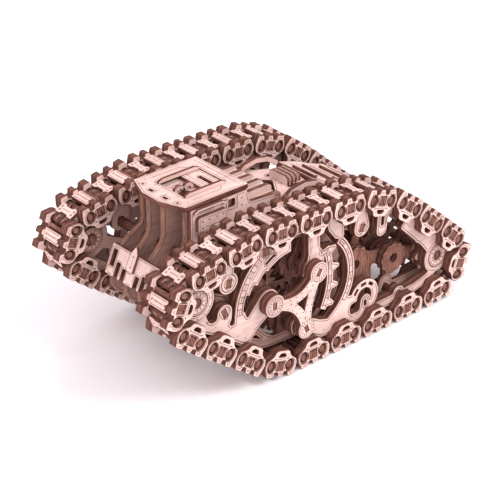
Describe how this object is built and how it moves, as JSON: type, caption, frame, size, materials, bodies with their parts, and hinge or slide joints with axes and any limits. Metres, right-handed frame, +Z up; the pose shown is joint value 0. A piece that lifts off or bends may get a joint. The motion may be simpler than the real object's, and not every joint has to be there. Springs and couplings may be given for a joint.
{
  "type": "tracked tank chassis kit",
  "caption": "Laser-cut plywood kit of a rhomboid tracked vehicle chassis with all-round tracks, an open cab and a geared drive train.",
  "frame": {"origin": "on the ground, under the middle of the vehicle", "axes": "+X forward, +Y to the left of the vehicle, +Z up"},
  "size_m": [0.3128, 0.16, 0.1408],
  "materials": {
    "plywood_face": "matte",
    "plywood_core": "matte",
    "plywood_burnt": "matte"
  },
  "bodies": {
    "chassis": {"bar_diamond": "plywood_burnt", "bar_knob_left": "plywood_burnt", "bar_knob_right": "plywood_burnt", "bar_lobe": "plywood_burnt", "bar_node_left": "plywood_burnt", "bar_node_right": "plywood_burnt", "bar_slot": "plywood_burnt", "cab_wall_left": "plywood_face", "cab_wall_right": "plywood_face", "engine_grille": "plywood_core", "engine_plate": "plywood_face", "frame_inner_left": "plywood_core", "frame_inner_right": "plywood_core", "frame_outer_front_left": "plywood_face", "frame_outer_front_right": "plywood_face", "frame_outer_rear_left": "plywood_face", "frame_outer_rear_right": "plywood_face", "hatch_bridge": "plywood_face", "hatch_floor": "plywood_face", "hull_floor": "plywood_core", "nose_plate": "plywood_face", "rear_deck": "plywood_face", "rib_inner_left": "plywood_core", "rib_inner_right": "plywood_core", "rib_outer_left": "plywood_core", "rib_outer_right": "plywood_core", "roof_plate": "plywood_face", "side_panel_left": "plywood_face", "side_panel_right": "plywood_face", "track_left": "plywood_face", "track_right": "plywood_face", "tri_arm_left": "plywood_face", "tri_arm_right": "plywood_face"},
    "motor_shaft": {"shaft_motor": "plywood_burnt", "drum_motor": "plywood_face", "gear_motor": "plywood_core"},
    "upper_shaft": {"shaft_upper": "plywood_burnt", "pinion_upper": "plywood_core", "gear_upper": "plywood_core"},
    "lower_shaft": {"shaft_lower": "plywood_burnt", "pinion_lower": "plywood_core"},
    "middle_shaft": {"shaft_middle": "plywood_burnt", "gear_middle": "plywood_core"},
    "rear_shaft": {"shaft_rear": "plywood_burnt", "pinion_rear": "plywood_core", "gear_rear": "plywood_core"},
    "drive_axle": {"axle_rear": "plywood_burnt", "gear_drive": "plywood_core", "sprocket_rear_left": "plywood_face", "sprocket_rear_right": "plywood_face", "cap_rear_left": "plywood_face", "cap_rear_right": "plywood_face"},
    "idler_left": {"axle_front_left": "plywood_burnt", "sprocket_front_left": "plywood_face", "cap_front_left": "plywood_face"},
    "idler_right": {"axle_front_right": "plywood_burnt", "sprocket_front_right": "plywood_face", "cap_front_right": "plywood_face"}
  },
  "joints": [
    {"name": "motor_spin", "type": "hinge", "parent": "chassis", "child": "motor_shaft", "pos_m": [0.05609, 0, 0.06629], "axis": [0, 1, 0], "continuous": true},
    {"name": "upper_spin", "type": "hinge", "parent": "chassis", "child": "upper_shaft", "pos_m": [0.01262, 0, 0.07794], "axis": [0, 1, 0], "continuous": true},
    {"name": "lower_spin", "type": "hinge", "parent": "chassis", "child": "lower_shaft", "pos_m": [0.02427, 0, 0.03447], "axis": [0, 1, 0], "continuous": true},
    {"name": "middle_spin", "type": "hinge", "parent": "chassis", "child": "middle_shaft", "pos_m": [-0.04109, 0, 0.05742], "axis": [0, 1, 0], "continuous": true},
    {"name": "rear_spin", "type": "hinge", "parent": "chassis", "child": "rear_shaft", "pos_m": [-0.08265, 0, 0.04811], "axis": [0, 1, 0], "continuous": true},
    {"name": "drive_spin", "type": "hinge", "parent": "chassis", "child": "drive_axle", "pos_m": [-0.12421, 0, 0.03879], "axis": [0, 1, 0], "continuous": true},
    {"name": "idler_left_spin", "type": "hinge", "parent": "chassis", "child": "idler_left", "pos_m": [0.12239, 0, 0.09109], "axis": [0, 1, 0], "continuous": true},
    {"name": "idler_right_spin", "type": "hinge", "parent": "chassis", "child": "idler_right", "pos_m": [0.12239, 0, 0.09109], "axis": [0, 1, 0], "continuous": true}
  ],
  "couplings": [
    {"joint": "upper_spin", "follows": "motor_spin", "ratio": -2},
    {"joint": "lower_spin", "follows": "motor_spin", "ratio": -2},
    {"joint": "middle_spin", "follows": "motor_spin", "ratio": 2.1818},
    {"joint": "rear_spin", "follows": "motor_spin", "ratio": -4},
    {"joint": "drive_spin", "follows": "motor_spin", "ratio": 2.8},
    {"joint": "idler_left_spin", "follows": "motor_spin", "ratio": 2.8},
    {"joint": "idler_right_spin", "follows": "motor_spin", "ratio": 2.8}
  ]
}
